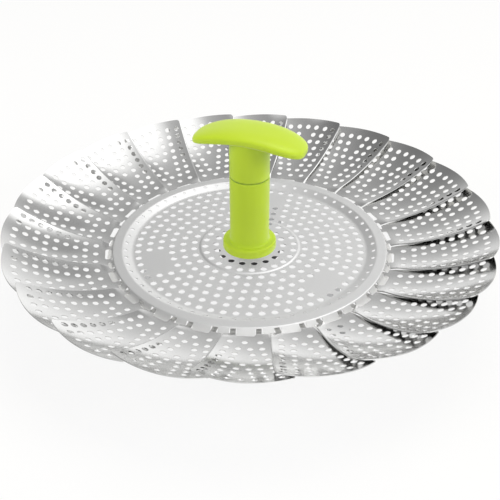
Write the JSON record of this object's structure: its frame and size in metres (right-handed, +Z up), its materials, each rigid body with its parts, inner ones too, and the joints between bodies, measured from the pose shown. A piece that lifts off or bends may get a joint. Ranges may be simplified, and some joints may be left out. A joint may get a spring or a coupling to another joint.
{
  "type": "folding steamer basket",
  "caption": "Open folding steamer basket: dished perforated steel plate on legs, ring of overlapping hinged petals, lime plastic post with a pull-up T grip.",
  "frame": {"origin": "on the ground under the middle of the plate", "axes": "+Z up along the handle, -Y towards the side shown at the front, +X to its right"},
  "size_m": [0.2534, 0.2546, 0.093],
  "materials": {
    "plate_steel": "satin",
    "petal_steel": "polished",
    "plain_steel": "satin",
    "lime_plastic": "satin",
    "white_nylon": "matte",
    "brass": "turned",
    "black_nylon": "matte"
  },
  "bodies": {
    "base": {"base_plate": "plate_steel", "leg_1": "plain_steel", "leg_2": "plain_steel", "leg_3": "plain_steel", "handle_post": "lime_plastic", "threaded_insert": "brass", "guide_bush": "white_nylon", "post_washer": "black_nylon", "post_screw": "plain_steel"},
    "handle": {"slide_tube": "plain_steel", "stop_collar": "white_nylon", "handle_grip": "lime_plastic"},
    "petal_01_body": {"petal_01": "petal_steel"},
    "petal_02_body": {"petal_02": "petal_steel"},
    "petal_03_body": {"petal_03": "petal_steel"},
    "petal_04_body": {"petal_04": "petal_steel"},
    "petal_05_body": {"petal_05": "petal_steel"},
    "petal_06_body": {"petal_06": "petal_steel"},
    "petal_07_body": {"petal_07": "petal_steel"},
    "petal_08_body": {"petal_08": "petal_steel"},
    "petal_09_body": {"petal_09": "petal_steel"},
    "petal_10_body": {"petal_10": "petal_steel"},
    "petal_11_body": {"petal_11": "petal_steel"},
    "petal_12_body": {"petal_12": "petal_steel"},
    "petal_13_body": {"petal_13": "petal_steel"},
    "petal_14_body": {"petal_14": "petal_steel"},
    "petal_15_body": {"petal_15": "petal_steel"},
    "petal_16_body": {"petal_16": "petal_steel"},
    "petal_17_body": {"petal_17": "petal_steel"},
    "petal_18_body": {"petal_18": "petal_steel"},
    "petal_19_body": {"petal_19": "petal_steel"},
    "petal_20_body": {"petal_20": "petal_steel"},
    "petal_21_body": {"petal_21": "petal_steel"},
    "petal_22_body": {"petal_22": "petal_steel"}
  },
  "joints": [
    {"name": "petal_01_fold", "type": "hinge", "parent": "base", "child": "petal_01_body", "pos_m": [-0.00171, -0.07193, 0.02485], "axis": [-0.9997, 0.0237, 0], "range_deg": [0, 72]},
    {"name": "petal_02_fold", "type": "hinge", "parent": "base", "child": "petal_02_body", "pos_m": [0.01863, -0.0695, 0.02485], "axis": [-0.9659, -0.2589, 0], "range_deg": [0, 72]},
    {"name": "petal_03_fold", "type": "hinge", "parent": "base", "child": "petal_03_body", "pos_m": [0.03745, -0.06143, 0.02485], "axis": [-0.8538, -0.5205, 0], "range_deg": [0, 72]},
    {"name": "petal_04_fold", "type": "hinge", "parent": "base", "child": "petal_04_body", "pos_m": [0.05324, -0.0484, 0.02485], "axis": [-0.6726, -0.74, 0], "range_deg": [0, 72]},
    {"name": "petal_05_fold", "type": "hinge", "parent": "base", "child": "petal_05_body", "pos_m": [0.06472, -0.03143, 0.02485], "axis": [-0.4369, -0.8995, 0], "range_deg": [0, 72]},
    {"name": "petal_06_fold", "type": "hinge", "parent": "base", "child": "petal_06_body", "pos_m": [0.07096, -0.01193, 0.02485], "axis": [-0.1658, -0.9862, 0], "range_deg": [0, 72]},
    {"name": "petal_07_fold", "type": "hinge", "parent": "base", "child": "petal_07_body", "pos_m": [0.07144, 0.00855, 0.02485], "axis": [0.1188, -0.9929, 0], "range_deg": [0, 72]},
    {"name": "petal_08_fold", "type": "hinge", "parent": "base", "child": "petal_08_body", "pos_m": [0.06614, 0.02833, 0.02485], "axis": [0.3937, -0.9192, 0], "range_deg": [0, 72]},
    {"name": "petal_09_fold", "type": "hinge", "parent": "base", "child": "petal_09_body", "pos_m": [0.05548, 0.04581, 0.02485], "axis": [0.6367, -0.7711, 0], "range_deg": [0, 72]},
    {"name": "petal_10_fold", "type": "hinge", "parent": "base", "child": "petal_10_body", "pos_m": [0.04032, 0.05959, 0.02485], "axis": [0.8282, -0.5605, 0], "range_deg": [0, 72]},
    {"name": "petal_11_fold", "type": "hinge", "parent": "base", "child": "petal_11_body", "pos_m": [0.0219, 0.06853, 0.02485], "axis": [0.9525, -0.3044, 0], "range_deg": [0, 72]},
    {"name": "petal_12_fold", "type": "hinge", "parent": "base", "child": "petal_12_body", "pos_m": [0.00171, 0.07193, 0.02485], "axis": [0.9997, -0.0237, 0], "range_deg": [0, 72]},
    {"name": "petal_13_fold", "type": "hinge", "parent": "base", "child": "petal_13_body", "pos_m": [-0.01863, 0.0695, 0.02485], "axis": [0.9659, 0.2589, 0], "range_deg": [0, 72]},
    {"name": "petal_14_fold", "type": "hinge", "parent": "base", "child": "petal_14_body", "pos_m": [-0.03745, 0.06143, 0.02485], "axis": [0.8538, 0.5205, 0], "range_deg": [0, 72]},
    {"name": "petal_15_fold", "type": "hinge", "parent": "base", "child": "petal_15_body", "pos_m": [-0.05324, 0.0484, 0.02485], "axis": [0.6726, 0.74, 0], "range_deg": [0, 72]},
    {"name": "petal_16_fold", "type": "hinge", "parent": "base", "child": "petal_16_body", "pos_m": [-0.06472, 0.03143, 0.02485], "axis": [0.4369, 0.8995, 0], "range_deg": [0, 72]},
    {"name": "petal_17_fold", "type": "hinge", "parent": "base", "child": "petal_17_body", "pos_m": [-0.07096, 0.01193, 0.02485], "axis": [0.1658, 0.9862, 0], "range_deg": [0, 72]},
    {"name": "petal_18_fold", "type": "hinge", "parent": "base", "child": "petal_18_body", "pos_m": [-0.07144, -0.00855, 0.02485], "axis": [-0.1188, 0.9929, 0], "range_deg": [0, 72]},
    {"name": "petal_19_fold", "type": "hinge", "parent": "base", "child": "petal_19_body", "pos_m": [-0.06614, -0.02833, 0.02485], "axis": [-0.3937, 0.9192, 0], "range_deg": [0, 72]},
    {"name": "petal_20_fold", "type": "hinge", "parent": "base", "child": "petal_20_body", "pos_m": [-0.05548, -0.04581, 0.02485], "axis": [-0.6367, 0.7711, 0], "range_deg": [0, 72]},
    {"name": "petal_21_fold", "type": "hinge", "parent": "base", "child": "petal_21_body", "pos_m": [-0.04032, -0.05959, 0.02485], "axis": [-0.8282, 0.5605, 0], "range_deg": [0, 72]},
    {"name": "petal_22_fold", "type": "hinge", "parent": "base", "child": "petal_22_body", "pos_m": [-0.0219, -0.06853, 0.02485], "axis": [-0.9525, 0.3044, 0], "range_deg": [0, 72]},
    {"name": "handle_slide", "type": "slide", "parent": "base", "child": "handle", "axis": [0, 0, 1], "range_m": [0, 0.025]}
  ],
  "couplings": [
    {"joint": "petal_02_fold", "follows": "petal_01_fold", "ratio": 1},
    {"joint": "petal_03_fold", "follows": "petal_01_fold", "ratio": 1},
    {"joint": "petal_04_fold", "follows": "petal_01_fold", "ratio": 1},
    {"joint": "petal_05_fold", "follows": "petal_01_fold", "ratio": 1},
    {"joint": "petal_06_fold", "follows": "petal_01_fold", "ratio": 1},
    {"joint": "petal_07_fold", "follows": "petal_01_fold", "ratio": 1},
    {"joint": "petal_08_fold", "follows": "petal_01_fold", "ratio": 1},
    {"joint": "petal_09_fold", "follows": "petal_01_fold", "ratio": 1},
    {"joint": "petal_10_fold", "follows": "petal_01_fold", "ratio": 1},
    {"joint": "petal_11_fold", "follows": "petal_01_fold", "ratio": 1},
    {"joint": "petal_12_fold", "follows": "petal_01_fold", "ratio": 1},
    {"joint": "petal_13_fold", "follows": "petal_01_fold", "ratio": 1},
    {"joint": "petal_14_fold", "follows": "petal_01_fold", "ratio": 1},
    {"joint": "petal_15_fold", "follows": "petal_01_fold", "ratio": 1},
    {"joint": "petal_16_fold", "follows": "petal_01_fold", "ratio": 1},
    {"joint": "petal_17_fold", "follows": "petal_01_fold", "ratio": 1},
    {"joint": "petal_18_fold", "follows": "petal_01_fold", "ratio": 1},
    {"joint": "petal_19_fold", "follows": "petal_01_fold", "ratio": 1},
    {"joint": "petal_20_fold", "follows": "petal_01_fold", "ratio": 1},
    {"joint": "petal_21_fold", "follows": "petal_01_fold", "ratio": 1},
    {"joint": "petal_22_fold", "follows": "petal_01_fold", "ratio": 1}
  ]
}
